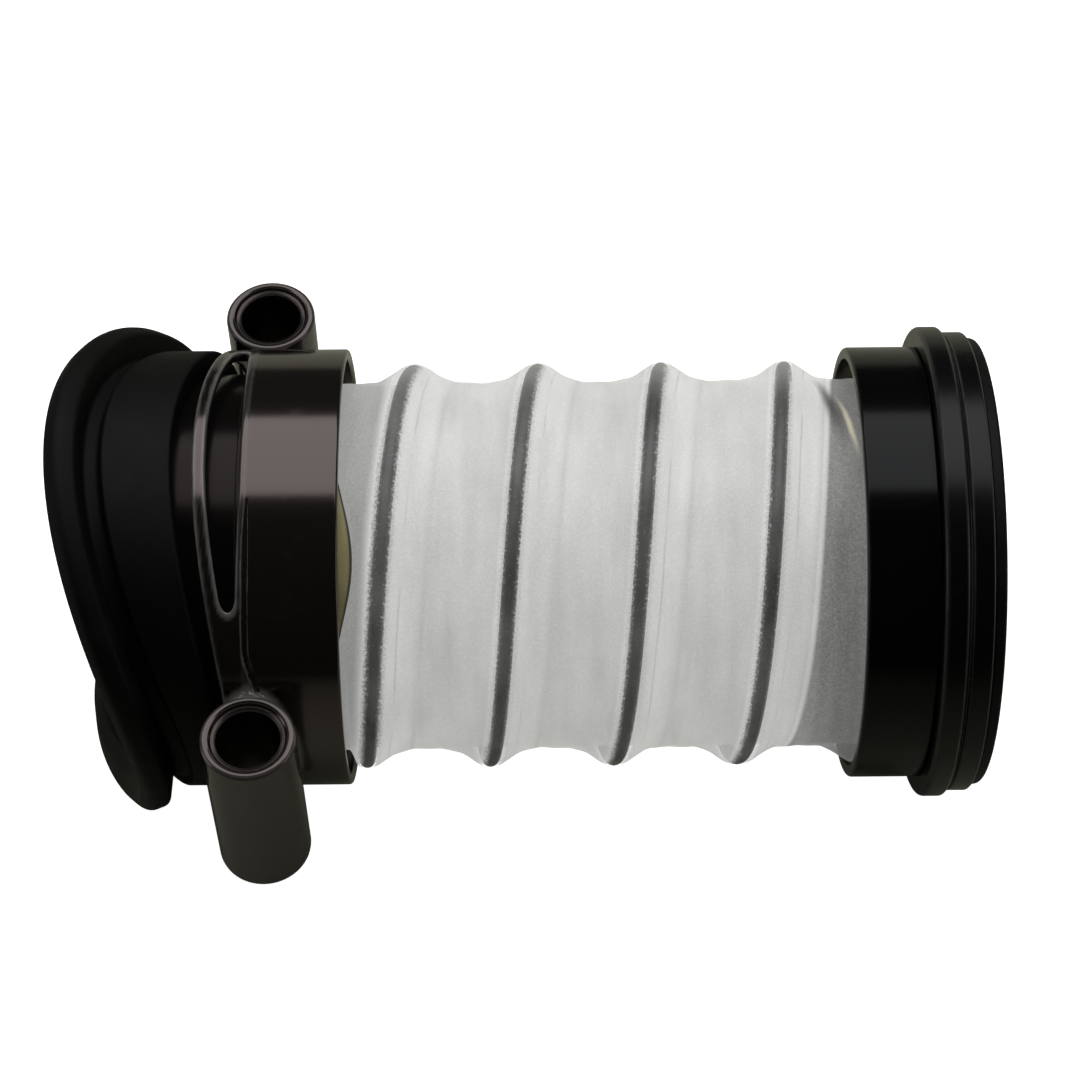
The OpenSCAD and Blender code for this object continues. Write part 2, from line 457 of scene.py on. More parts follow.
class Number:
    """A number socket whose Python operators add Math nodes."""

    def __init__(self, shader: "Shader", socket: bpy.types.NodeSocket) -> None:
        """Wraps a socket of a shader's node."""
        self.shader = shader
        self.socket = socket

    def _math(self, operation: str, *values: Any) -> "Number":
        """Adds a Math node.

        Args:
            operation: Math node operation.
            values: Its inputs, numbers or wrapped sockets.

        Returns:
            The node's result.
        """
        sockets = {n: v for n, v in enumerate(values)}
        node = self.shader.node("ShaderNodeMath", {"operation": operation}, sockets)
        return Number(self.shader, node.outputs[0])

    def __add__(self, other: "Value") -> "Number":
        """Sum."""
        return self._math("ADD", self, other)

    def __radd__(self, other: "Value") -> "Number":
        """Sum, reflected."""
        return self._math("ADD", other, self)

    def __sub__(self, other: "Value") -> "Number":
        """Difference."""
        return self._math("SUBTRACT", self, other)

    def __rsub__(self, other: "Value") -> "Number":
        """Difference, reflected."""
        return self._math("SUBTRACT", other, self)

    def __mul__(self, other: "Value") -> "Number":
        """Product."""
        return self._math("MULTIPLY", self, other)

    def __rmul__(self, other: "Value") -> "Number":
        """Product, reflected."""
        return self._math("MULTIPLY", other, self)

    def __abs__(self) -> "Number":
        """Absolute value."""
        return self._math("ABSOLUTE", self)

    def wrapped(self) -> "Number":
        """Distance from the nearest whole number, signed, from -0.5 to 0.5."""
        return self._math("FRACT", self + 0.5) - 0.5

    def step(self, low: float, high: float) -> "Number":
        """Smooth step from 0 at low to 1 at high.

        Args:
            low: Where the step starts.
            high: Where the step ends.

        Returns:
            The share, from 0 to 1.
        """
        settings = {"interpolation_type": "SMOOTHSTEP"}
        sockets = {"Value": self, "From Min": low, "From Max": high}
        node = self.shader.node("ShaderNodeMapRange", settings, sockets)
        return Number(self.shader, node.outputs[0])

    def peak(self, centre: float, width: float) -> "Number":
        """One at the centre, falling smoothly to 0 at a distance of width."""
        return 1.0 - abs(self - centre).step(0.0, width)

    def clipped(self) -> "Number":
        """The value kept between 0 and 1."""
        return self._math("MINIMUM", self._math("MAXIMUM", self, 0.0), 1.0)


Value = Union[Number, float]
Colour = tuple[float, float, float]


class Shader:
    """One procedural material under construction."""

    def __init__(self, name: str) -> None:
        """Makes an empty node material.

        Args:
            name: Name of the material.
        """
        self.material = bpy.data.materials.new(name)
        self.material.use_nodes = True
        self.tree = self.material.node_tree
        self.tree.nodes.clear()
        self.place = self.node("ShaderNodeTexCoord")

    def node(
        self,
        kind: str,
        settings: dict[str, Any] | None = None,
        sockets: dict[Union[str, int], Any] | None = None,
    ) -> bpy.types.Node:
        """Adds any node.

        Args:
            kind: Node type.
            settings: Its attributes, set first.
            sockets: Value or link of each input, by name or number.

        Returns:
            The node.
        """
        made = self.tree.nodes.new(kind)
        for key, value in (settings or {}).items():
            setattr(made, key, value)
        for key, value in (sockets or {}).items():
            if isinstance(value, Number):
                value = value.socket
            if isinstance(value, bpy.types.NodeSocket):
                self.tree.links.new(value, made.inputs[key])
            else:
                made.inputs[key].default_value = value
        return made

    def lay(self) -> tuple[Number, Number]:
        """Reads the piece's own UV map.

        Returns:
            Its two numbers: across and along.
        """
        uv = self.node("ShaderNodeUVMap", {"uv_map": "lay"})
        parts = self.node("ShaderNodeSeparateXYZ", None, {0: uv.outputs[0]})
        return Number(self, parts.outputs[0]), Number(self, parts.outputs[1])

    def edge(self) -> Number:
        """How much the point lies on a rounded edge, 0 where the piece doesn't say."""
        held = self.node("ShaderNodeAttribute", {"attribute_name": "edge"})
        return Number(self, held.outputs["Fac"])

    def along(self, part: int) -> Number:
        """One Object coordinate in millimetres: 0 for x, 1 for y, 2 for z."""
        parts = self.node("ShaderNodeSeparateXYZ", None, {0: self.place.outputs["Object"]})
        return Number(self, parts.outputs[part]) * 1000.0

    def noise(self, grain: float, detail: float = 3.0, stretch: Colour = (1, 1, 1)) -> Number:
        """Noise on Object coordinates.

        Args:
            grain: Size of its features in millimetres.
            detail: Octaves.
            stretch: Scale of each coordinate, lower for features that run along it.

        Returns:
            Noise from 0 to 1.
        """
        laid = self.node(
            "ShaderNodeMapping",
            None,
            {"Vector": self.place.outputs["Object"], "Scale": stretch},
        )
        sockets = {"Vector": laid.outputs[0], "Scale": 1000.0 / grain, "Detail": detail}
        made = self.node("ShaderNodeTexNoise", None, sockets)
        return Number(self, made.outputs["Fac"])

    def mix(self, share: Value, first: Any, second: Any) -> bpy.types.NodeSocket:
        """Mixes two colours.

        Args:
            share: Share of the second colour.
            first: Colour or link at share 0.
            second: Colour or link at share 1.

        Returns:
            The mixed colour's socket.
        """
        filled = [(*c, 1.0) if isinstance(c, tuple) else c for c in (first, second)]
        sockets = {0: share, 6: filled[0], 7: filled[1]}
        return self.node("ShaderNodeMix", {"data_type": "RGBA"}, sockets).outputs[2]

    def bump(self, height: Number, depth: float) -> bpy.types.NodeSocket:
        """Bump from a height of 0 to 1.

        Args:
            height: Height over the surface.
            depth: Depth in millimetres.

        Returns:
            The normal's socket.
        """
        sockets = {"Strength": 1.0, "Distance": depth * MM, "Height": height}
        return self.node("ShaderNodeBump", None, sockets).outputs[0]

    def finish(self, **sockets: Any) -> bpy.types.Material:
        """Adds the Principled shader and the output.

        Args:
            sockets: Principled inputs, with underscores for spaces.

        Returns:
            The finished material.
        """
        named = {key.replace("_", " "): value for key, value in sockets.items()}
        shader = self.node("ShaderNodeBsdfPrincipled", None, named)
        self.node("ShaderNodeOutputMaterial", None, {0: shader.outputs[0]})
        return self.material


# ---------------------------------------------------------------- finishes


@dataclass(frozen=True)
class MouldedPlastic:
    """Glossy moulded plastic: faint flow marks in the gloss, fine texture, dust, and a painted highlight that
    makes its rounded edges paler.
    """

    name: str
    colour: Colour
    tint: Colour
    roughness: float = 0.2
    spread: float = 0.06
    texture: float = 0.004
    shine: float = 0.5
    glint: Colour = (1.0, 1.0, 1.0)
    # How pale the painted highlight on rounded edges is.
    wear_and_painted_edge_highlight: float = 0.16

    def material(self) -> bpy.types.Material:
        """Builds the material.

        Returns:
            The finished material.
        """
        s = Shader(self.name)
        flow = s.noise(22.0, 2.0, (0.35, 1.0, 1.0))
        fine = s.noise(0.7, 2.0)
        dust = s.noise(5.0, 5.0).step(0.58, 0.8)
        # Painted highlight: rounded edges are mixed to a paler colour, broken up by noise, standing for the
        # light that they catch.
        edge = s.edge() * (0.55 + s.noise(3.0, 3.0) * 0.9)
        colour = s.mix((flow * 0.7 + fine * 0.3).clipped(), self.colour, self.tint)
        colour = s.mix(dust * 0.22, colour, tuple(c * 1.9 + 0.004 for c in self.tint))
        pale = tuple(self.wear_and_painted_edge_highlight * c for c in (1.0, 0.97, 0.93))
        return s.finish(
            Base_Color=s.mix(edge.clipped(), colour, pale),
            Roughness=self.roughness + (flow - 0.5) * self.spread + dust * 0.05,
            Normal=s.bump(fine * self.texture + flow * 0.09, 1.0),
            Specular_IOR_Level=self.shine,
            Specular_Tint=(*self.glint, 1.0),
        )


@dataclass(frozen=True)
class MattRubber:
    """Moulded rubber: dull, mottled, with a fine tooth and lighter rubbed patches."""

    name: str
    colour: Colour
    wear_and_painted_edge_highlight: Colour
    roughness: float = 0.62
    tooth: float = 0.03
    shine: float = 0.18

    def material(self) -> bpy.types.Material:
        """Builds the material.

        Returns:
            The finished material.
        """
        s = Shader(self.name)
        mottle = s.noise(9.0, 4.0)
        tooth = s.noise(0.45, 2.0)
        rub = (mottle * 0.8 + tooth * 0.2).step(0.5, 0.72)
        return s.finish(
            Base_Color=s.mix(rub, self.colour, self.wear_and_painted_edge_highlight),
            Roughness=self.roughness + (mottle - 0.5) * 0.18,
            Normal=s.bump(tooth + mottle * 0.6, self.tooth),
            Specular_IOR_Level=self.shine,
        )


@dataclass(frozen=True)
class HoseFilm:
    """Frosted hose film, clear over the wire, with a whiter lap of double film beside it, painted shade at
    both ends and in a crumple by the cuff, and a painted glow of its own colour.
    """

    name: str
    pitch: float
    thin: Colour = (0.52, 0.52, 0.51)
    thick: Colour = (0.84, 0.84, 0.83)
    # Colour of the painted shade at the film's ends, by the couplings.
    bare_and_shaded_ends: Colour = (0.2, 0.2, 0.195)
    glow: float = 0.58

    def material(self) -> bpy.types.Material:
        """Builds the material. The UV map holds turns from the wire and millimetres round.

        Returns:
            The finished material.
        """
        s = Shader(self.name)
        turns, _ = s.lay()
        off = turns.wrapped() * self.pitch
        grain = s.noise(0.5, 3.0)
        cloud = s.noise(11.0, 4.0, (1.0, 0.55, 0.55))
        streak = s.noise(4.0, 3.0, (1.0, 0.12, 0.12))
        x, y, z = (s.along(part) for part in range(3))
        haze = y.step(6.0, 40.0) * 0.36 + (cloud - 0.5) * 0.3
        frayed = abs(off + (streak - 0.5) * 0.7) + (grain - 0.5) * 2.6
        wire = 1.0 - frayed.step(1.1, 2.5)
        lap = off.step(1.6, 3.0) * (1.0 - (off + (streak - 0.5) * 2.0).step(7.2, 9.2))
        weld = off.peak(9.3, 0.9) * streak.step(0.35, 0.7)
        fold = (off + streak).peak(4.9, 0.35) * cloud.step(0.4, 0.6)
        bead = off.peak(-2.4, 0.9) * (0.5 + streak)
        front = 1.0 - y.step(33.0, 39.5)
        first = (1.0 - turns.step(-0.17, -0.1)) * (1.0 - x.step(49.6, 52.0)) * front
        last = turns.step(3.37, 3.4) * x.step(131.0, 134.0) * front
        # Painted shade: the film is darkened at both ends, by the couplings, where the dark spigot and the
        # shaded inside of the hose show through.
        bare_and_shaded_ends = first * 0.55 + last
        hem = turns.peak(3.355, 0.025) * x.step(131.0, 134.0) * (0.5 + cloud) * front
        speck = grain.step(0.54, 0.66) * 0.2
        slant = x + y * 0.15 + (cloud - 0.5) * 3.0
        # Where the film crumples by the cuff, on the upper side.
        crumple_shade = slant.peak(147.2, 2.3) * y.peak(16.0, 14.0) * z.step(0.0, 1.0)
        glue = slant.peak(149.3, 0.9) * y.peak(9.0, 12.0) * z.step(0.0, 1.0)
        white = (
            0.5 + lap * 0.24 + bead * 0.26 - weld * 0.3 - fold * 0.5 + (cloud - 0.5) * 0.7
            + (grain - 0.5) * 0.5 + (streak - 0.5) * 0.7 + speck * 0.3 + hem * 0.4
        )
        look = s.mix(white.clipped(), self.thin, self.thick)
        # Share of the painted shade at the ends: patchy, and more of it towards the cuff.
        patchy_and_shaded_to_cuff = 0.78 + (streak - 0.5) * 0.5 - (grain - 0.5) * 0.55 + x.step(140.0, 150.0) * 0.16
        look = s.mix((bare_and_shaded_ends * patchy_and_shaded_to_cuff).clipped(), look, self.bare_and_shaded_ends)
        # Painted shade of the crumple, mixed in near black.
        look = s.mix(crumple_shade * 0.9, look, (0.06, 0.06, 0.055))
        look = s.mix(glue.clipped(), look, (0.62, 0.58, 0.42))
        clear = wire * (0.76 - haze) + weld * 0.06 + bare_and_shaded_ends * 0.04
        return s.finish(
            Base_Color=s.mix(0.4, look, (0.0, 0.0, 0.0)),
            Roughness=0.36 - wire * 0.1 + (cloud - 0.5) * 0.12,
            Alpha=(0.84 + lap * 0.12 + bead * 0.08 - clear + glue * 0.3).clipped(),
            Normal=s.bump(grain * 0.35 + cloud * 0.8 + streak * 0.9, 0.24),
            # Painted glow: the film gives off light of its own colour, standing for light that passes through
            # it.
            Emission_Color=look,
            Emission_Strength=self.glow,
            Specular_IOR_Level=0.3,
        )


@dataclass(frozen=True)
class LiningFilm:
    """Inner ply of the hose: plain, milky and slightly cloudy."""

    name: str

    def material(self) -> bpy.types.Material:
        """Builds the material.

        Returns:
            The finished material.
        """
        s = Shader(self.name)
        cloud = s.noise(14.0, 3.0)
        x = s.along(0)
        # Ends of the lining by the couplings, where it is made more see-through.
        bare_and_shaded_ends = 1.0 - x.step(49.6, 51.2) * (1.0 - x.step(139.6, 141.8))
        look = s.mix(cloud, (0.6, 0.6, 0.59), (0.76, 0.76, 0.75))
        return s.finish(
            Base_Color=look,
            Roughness=0.4 + (cloud - 0.5) * 0.15,
            Alpha=0.84 + (cloud - 0.5) * 0.1 - bare_and_shaded_ends * 0.5,
            # Painted glow: the lining gives off light of its own colour.
            Emission_Color=look,
            Emission_Strength=0.3,
        )


@dataclass(frozen=True)
class CoatedWire:
    """Spring wire in a grey coating, with pale specks where the film clings to it."""

    name: str

    def material(self) -> bpy.types.Material:
        """Builds the material.

        Returns:
            The finished material.
        """
        s = Shader(self.name)
        fine = s.noise(0.5, 3.0)
        broad = s.noise(6.0, 2.0)
        speck = fine.step(0.6, 0.72)
        base = s.mix(broad, (0.045, 0.045, 0.044), (0.08, 0.08, 0.078))
        return s.finish(
            Base_Color=s.mix(speck * 0.5, base, (0.3, 0.3, 0.29)),
            Roughness=0.45 + (fine - 0.5) * 0.3,
            Normal=s.bump(fine, 0.05),
        )


@dataclass(frozen=True)
class CreamGasket:
    """Soft cream plastic with darker, waxy patches and painted shade along its rounded outer edge."""

    name: str

    def material(self) -> bpy.types.Material:
        """Builds the material.

        Returns:
            The finished material.
        """
        s = Shader(self.name)
        patch = s.noise(3.5, 4.0)
        cream = s.mix(patch, (0.42, 0.36, 0.15), (0.68, 0.61, 0.33))
        return s.finish(
            # Painted shade: rounded edges are mixed to near black, the shadow in the gap beside the film.
            Base_Color=s.mix(s.edge(), cream, (0.03, 0.028, 0.02)),
            Roughness=0.4 + patch * 0.2,
            Normal=s.bump(patch, 0.06),
        )


@dataclass(frozen=True)
class PlainPlastic:
    """Uncoloured washer plastic, slightly waxy."""

    name: str

    def material(self) -> bpy.types.Material:
        """Builds the material.

        Returns:
            The finished material.
        """
        s = Shader(self.name)
        wax = s.noise(2.5, 3.0)
        return s.finish(
            Base_Color=s.mix(wax, (0.62, 0.62, 0.58), (0.74, 0.74, 0.7)),
            Roughness=0.42 + (wax - 0.5) * 0.2,
            Normal=s.bump(wax, 0.02),
        )


@dataclass(frozen=True)
class DrawnSteel:
    """Steel with fine drawing marks round the hose."""

    name: str
    colour: Colour
    roughness: float

    def material(self) -> bpy.types.Material:
        """Builds the material.

        Returns:
            The finished material.
        """
        s = Shader(self.name)
        lines = s.noise(0.25, 2.0, (1.0, 0.05, 0.05))
        stain = s.noise(4.0, 3.0)
        return s.finish(
            Base_Color=s.mix(stain * 0.5, self.colour, tuple(c * 0.7 for c in self.colour)),
            Metallic=1.0,
            Roughness=self.roughness + (lines - 0.5) * 0.2 + (stain - 0.5) * 0.1,
            Normal=s.bump(lines, 0.01),
        )


class Finishes:
    """All materials of the hose, built once."""

    def __init__(self, pitch: float) -> None:
        """Builds every material.

        Args:
            pitch: Distance from one turn of the wire to the next.
        """
        warm, cool = (1.0, 0.85, 0.81), (0.95, 0.97, 1.0)
        # Each moulded plastic below is painted paler on its rounded edges, as a highlight.
        self.pipe = MouldedPlastic(
            "pipe_gloss", (0.005, 0.0044, 0.004), (0.008, 0.007, 0.0065),
            roughness=0.2, shine=0.15, glint=warm, wear_and_painted_edge_highlight=0.03,
        ).material()
        self.grip = MouldedPlastic(
            "grip_gloss", (0.0082, 0.0071, 0.0056), (0.013, 0.0112, 0.009),
            roughness=0.14, shine=0.86, glint=warm,
        ).material()
        self.bush = MouldedPlastic(
            "bush_gloss", (0.006, 0.005, 0.0044), (0.01, 0.0084, 0.0074),
            roughness=0.22, shine=0.6, glint=warm, wear_and_painted_edge_highlight=0.1,
        ).material()
        self.cuff = MouldedPlastic(
            "cuff_gloss", (0.0022, 0.0023, 0.0027), (0.0034, 0.0036, 0.0042),
            roughness=0.17, shine=0.16, glint=cool, wear_and_painted_edge_highlight=0.03,
        ).material()
        self.flange = MouldedPlastic(
            "flange_gloss", (0.0028, 0.0028, 0.003), (0.0042, 0.0042, 0.0045),
            roughness=0.26, shine=0.22, wear_and_painted_edge_highlight=0.1,
        ).material()
        self.boot = MattRubber(
            "boot_rubber_matt", (0.0012, 0.0012, 0.0011), (0.0026, 0.0026, 0.0024)
        ).material()
        self.seal = MattRubber(
            "seal_rubber_matt", (0.0022, 0.0022, 0.0022), (0.0045, 0.0045, 0.0044), roughness=0.55
        ).material()
        self.ring_rubber = MattRubber(
            "o_ring_satin", (0.004, 0.004, 0.004), (0.008, 0.008, 0.008), roughness=0.4, tooth=0.01, shine=0.3
        ).material()
        self.film = HoseFilm("frosted_film", pitch).material()
        self.lining = LiningFilm("milky_lining").material()
        self.wire = CoatedWire("coated_wire").material()
        self.gasket = CreamGasket("cream_gasket").material()
        self.washer = PlainPlastic("washer_natural").material()
        self.spring = DrawnSteel("spring_steel_bright", (0.5, 0.51, 0.52), 0.3).material()
        self.clamp = DrawnSteel("clamp_steel_bright", (0.6, 0.61, 0.62), 0.26).material()


@dataclass(frozen=True)
class Piece:
    """A finished object and what it stands for."""

    thing: bpy.types.Object
    material: bpy.types.Material
    slot: Slot
    replaces: tuple[str, ...] = ()

    def dressed(self) -> "Piece":
        """Gives the object its material and hides the imported nodes that it stands for.

        Returns:
            The piece itself.
        """
        self.thing.data.materials.clear()
        self.thing.data.materials.append(self.material)
        if self.replaces:
            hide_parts(*self.replaces)
        count = len(self.thing.data.loops) - 2 * len(self.thing.data.polygons)
        log.info("%s: %d triangles", self.thing.name, count)
        return self

    def riding(self, body: Body) -> "Piece":
        """Makes the piece move with a body.

        Args:
            body: Body to ride on.

        Returns:
            The piece itself.
        """
        self.dressed()
        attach(self.thing, body.value)
        return self

    def bending(self, first: Body, second: Body, start: float, end: float) -> "Piece":
        """Gives the piece its material and bakes its place into its mesh; it is not made to bend.

        Args:
            first: Body before the bend; not used.
            second: Body after the bend; not used.
            start: Where the bend would start along the hose, in millimetres; not used.
            end: Where the bend would end along the hose, in millimetres; not used.

        Returns:
            The piece itself.
        """
        self.dressed()
        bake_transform(self.thing)
        return self


# ---------------------------------------------------------------- bayonet coupling


@dataclass(frozen=True)
class GripField:
    """Distances, negative inside, of the grip ring's body: ring, arches and socket cores."""

    ring_x: float
    rim_x: float
    ring_r: float
    bore_r: float
    land_r: float
    land_x: float
    arch_x: float
    socket_x: float
    socket_y: float
    core_r: float
    socket_z: tuple[float, float]

    def _ring(self, x: Array, r: Array) -> Array:
        """Ring and its land: a box with rounded edges and a plain one, in the plane of x and radius.

        Args:
            x: Positions along the hose.
            r: Radii.

        Returns:
            Distances, negative inside.
        """
        rounding = 0.7
        middle, half = (self.ring_x + self.rim_x) / 2, (self.rim_x - self.ring_x) / 2 - rounding
        mid_r, half_r = (self.bore_r + self.ring_r) / 2, (self.ring_r - self.bore_r) / 2 - rounding
        dx, dr = np.abs(x - middle) - half, np.abs(r - mid_r) - half_r
        out = np.hypot(np.maximum(dx, 0), np.maximum(dr, 0))
        band = out + np.minimum(np.maximum(dx, dr), 0) - rounding
        land = np.maximum(
            np.maximum(self.ring_x + 0.05 - x, x - self.land_x), np.maximum(self.land_r - r, r - 46.0)
        )
        return np.minimum(band, land)

    def _arch(self, x: Array, y: Array, r: Array) -> Array:
        """Band in front of the ring: front edge bowed as y^2 / 340, less a slot with round ends.

        Args:
            x: Positions along the hose.
            y: Positions across it.
            r: Radii.

        Returns:
            Distances, negative inside.
        """
        front = (self.arch_x + y * y / 340.0) - x
        plate = np.maximum(front, x - (self.ring_x + 1.0))
        slot = soft_max((15.3 + y * y / 306.0) - x, x - (22.5 - y * y / 1110.0), 0.8)
        slot = soft_max(slot, np.abs(y) - 33.2, 2.4)
        plate = soft_max(plate, -slot, 0.3)
        shell = np.maximum(self.bore_r - r, r - self.ring_r)
        return soft_max(plate, shell, 0.8)

    def _socket(self, x: Array, y: Array, z: Array, r: Array) -> Array:
        """Socket cores: upright cylinders, kept near the ring, a hair inside the turned sockets.

        Args:
            x: Positions along the hose.
            y: Positions across it.
            z: Heights.
            r: Radii.

        Returns:
            Distances, negative inside.
        """
        side = np.hypot(x - self.socket_x, np.abs(y) - self.socket_y) - self.core_r
        low, high = self.socket_z
        ends = np.maximum(low + 0.6 - z, z - (high - 1.2))
        return np.maximum(np.maximum(side, ends), r - 55.4)

    def distance(self, p: Array) -> Array:
        """Distance of points to the body.

        Args:
            p: Points, shape (..., 3).

        Returns:
            Distances, negative inside.
        """
        x, y, z = p[..., 0], p[..., 1], p[..., 2]
        r = np.hypot(y, z)
        body = soft_min(self._ring(x, r), self._arch(x, y, r), 0.8)
        out = np.where(z > 0, -y, y)
        line = 24.0 - 0.03 * (out - 16.0) + 3.4 * ease(out, 38.5, 46.0)
        half = 0.15 + 0.35 * ease(out, 14.0, 24.0)
        groove = 0.6 * (1.0 - ease(np.abs(x - line), half - 0.1, half + 0.25))
        groove = groove * ease(out, 13.0, 17.0) * (1.0 - ease(out, 42.5, 44.5))
        body = body + groove * ease(r, 46.4, 47.0)
        body = soft_min(body, self._socket(x, y, z, r), 2.6)
        bore = (self.core_r - 1.7) - np.hypot(x - self.socket_x, np.abs(y) - self.socket_y)
        body = np.maximum(body, bore)
        inner = np.where((x > self.ring_x) & (x < self.land_x), self.land_r, self.bore_r)
        return np.maximum(body, inner - r)

    def slope(self, p: Array) -> Array:
        """Slope of the distance, from differences over a tenth of a millimetre.

        Args:
            p: Points, shape (n, 3).

        Returns:
            Slopes, shape (n, 3).
        """
        h = 0.05
        moves = h * np.eye(3)
        parts = [self.distance(p + m) - self.distance(p - m) for m in moves]
        return np.stack(parts, axis=-1) / (2 * h)


def gasket_edge(a: Array) -> Array:
    """Back edge of the inlet gasket along the hose: 39.8 + 5.3 exp(-((a - 122) / 25.6)^2), a in degrees.

    Args:
        a: Angles round the hose, in radians.

    Returns:
        Positions along the hose, which bulge out of the ring on the near side.
    """
    off = (np.degrees(a) - 122.0 + 180.0) % 360.0 - 180.0
    return 39.8 + 5.3 * np.exp(-((off / 25.6) ** 2))


@dataclass
class BayonetCoupling:
    """Fixed pipe stub with the grip ring, its bushes, the rubber boot and the inlet gasket."""

    finishes: Finishes
    stub_r: float = 42.0
    pipe_bore_r: float = 36.5
    spigot_r: float = 39.3
    spigot_end: float = 50.5
    ring_x: float = 22.6
    rim_x: float = 42.5
    ring_r: float = 47.3
    ring_bore_r: float = 44.9
    socket_x: float = 24.0
    socket_y: float = 54.2
    socket_r: float = 9.8
    socket_z: tuple[float, float] = (-26.3, 20.4)
    bush_r: float = 7.65
    bush_bore_r: float = 6.6
    land_x: float = 28.1
    arch_x: float = 12.5

    def pipe_stub(self) -> None:
        """Turned pipe with its ridge, O-ring groove, snap-ring groove and spigot."""
        s, g = self.stub_r, self.spigot_r
        outline = [
            (0, 38.4, 0.3), (0, s, 0.6), (21.3, s, 0.3), (21.3, 43, 0.25), (22.3, 43, 0.25),
            (22.3, s, 0.3), (24.2, s, 0.15), (24.2, 40.6, 0.15), (26.2, 40.6, 0.15), (26.2, s, 0.15),
            (29.6, s, 0.15), (29.6, 40.2, 0.1), (30.8, 40.2, 0.1), (30.8, s, 0.15), (32.6, s, 0.4),
            (34, g, 0.5), (self.spigot_end, g, 0.9), (self.spigot_end, self.pipe_bore_r, 0.6),
            (22, self.pipe_bore_r, 0.3), (22, 38.4, 0.3),
        ]
        thing = turned(outline).to_object("stub_shell")
        Piece(thing, self.finishes.pipe, Slot.PIPE, ("pipe_stub",)).riding(Body.INLET)

    def grip_ring(self) -> None:
        """Ring body meshed from its field of distances, with the two turned sockets."""
        field = GripField(
            ring_x=self.ring_x, rim_x=self.rim_x, ring_r=self.ring_r, bore_r=self.ring_bore_r,
            land_r=self.stub_r + 0.4, land_x=self.land_x, arch_x=self.arch_x,
            socket_x=self.socket_x, socket_y=self.socket_y, core_r=self.socket_r - 0.04,
            socket_z=self.socket_z,
        )
        body = surface_net(
            field,
            np.concatenate(
                [np.arange(11.6, 21.9, 0.5), np.arange(22.1, 26.5, 0.25), np.arange(26.6, 43.4, 0.55)]
            ),
            np.linspace(0, 2 * np.pi, 440, endpoint=False),
            np.arange(41.7, 56.2, 0.5),
        )
        low, high = self.socket_z
        tube = [
            (low, self.socket_r, 1.0), (high, self.socket_r, 1.0), (high - 0.75, 8.1, 0.3),
            (high - 1.1, 7.7, 0.12), (low, 7.7, 0.3),
        ]
        sockets = [
            turned(tube, Axis.SOCKET, (self.socket_x, side * self.socket_y), 128) for side in (-1, 1)
        ]
        thing = body.facing_out().joined(*(s.facing_out() for s in sockets)).to_object("grip_ring_moulded")
        Piece(thing, self.finishes.grip, Slot.GRIP, ("grip_ring",)).riding(Body.GRIP)

    def bushes(self) -> None:
        """Bushes that line the sockets, with a rounded lip."""
        low, high = self.socket_z
        for side, name in ((-1, "near"), (1, "far")):
            tube = [
                (low, self.bush_r, 0.15), (high - 1.2, self.bush_r, 0.15),
                (high - 1.6, self.bush_bore_r, 0.6), (low, self.bush_bore_r, 0.4),
            ]
            made = turned(tube, Axis.SOCKET, (self.socket_x, side * self.socket_y), 96)
            thing = made.to_object(f"{name}_socket_bush")
            Piece(thing, self.finishes.bush, Slot.BUSH, (f"{name}_bush",)).riding(Body.GRIP)

    def rubber_boot(self) -> None:
        """Boot: its section of brim, channel and sleeve follows a wave round the pipe.

        The brim's middle runs at x = -3.9 + 1.6 cos a + 9.4 cos 2a and smaller terms, and the
        sleeve's back edge at 12.4 + 4.2 cos 2a.
        """
        a = np.linspace(0, 2 * np.pi, 320, endpoint=False)
        middle = (
            -3.9 + 1.6 * np.cos(a) - 0.26 * np.sin(a) + 9.4 * np.cos(2 * a)
            - 0.36 * np.sin(2 * a) + 0.5 * np.cos(3 * a) - 1.4 * np.sin(3 * a)
        )
        front = middle - 5.4
        back = 12.4 + 4.2 * np.cos(2 * a)
        inner = self.stub_r + 0.1
        pocket = np.full_like(a, 4.8), np.full_like(a, 7.2)
        section = [
            (front + 0.4, 45.6, 1.2), (front + 0.2, 50.4, 1.6), (front + 3.0, 52.9, 2.6),
            (front + 6.9, 51.4, 1.4), (front + 7.4, 44.9, 1.3), (front + 10.8, 44.7, 1.2),
            (front + 11.5, 47.2, 0.7), (back, 47.2, 0.7), (back, inner, 0.3),
            (pocket[1], inner, 0.1), (pocket[1], 43.4, 0.2), (pocket[0], 43.4, 0.2),
            (pocket[0], inner, 0.1), (front + 2.2, inner, 0.5),
        ]
        thing = waved(section, a, ARC_STEPS).to_object("boot_moulded")
        Piece(thing, self.finishes.boot, Slot.BOOT, ("rubber_boot",)).riding(Body.INLET)

    def inlet_gasket(self) -> None:
        """Gasket whose back edge bulges out of the ring on the near side."""
        a = np.linspace(0, 2 * np.pi, 256, endpoint=False)
        edge = gasket_edge(a)
        start = np.full_like(a, 38.3)
        section = [
            (start, GASKET_BORE_R, 0.3), (start, GASKET_R, 0.4),
            (edge, GASKET_R, 0.7), (edge, GASKET_BORE_R, 0.4),
        ]
        ring = waved(section, a, GASKET_ARC_STEPS)
        # Where the gasket's painted shade falls: the last half millimetre before its back edge.
        ring.edge = ease(ring.points[:, 0].reshape(len(a), -1) - edge[:, None], -0.55, -0.25).ravel()
        thing = ring.to_object("inlet_gasket_soft")
        Piece(thing, self.finishes.gasket, Slot.GASKET, ("inlet_gasket",)).riding(Body.INLET)

    def build(self) -> None:
        """Builds every piece of the coupling."""
        self.pipe_stub()
        self.grip_ring()
        self.bushes()
        self.rubber_boot()
        self.inlet_gasket()


# ---------------------------------------------------------------- hose


@dataclass(frozen=True)
class Zone:
    """One stretch of the hose, with where it and its wire start and end."""

    name: str
    start: float
    end: float
    wire_start: float
    wire_end: float


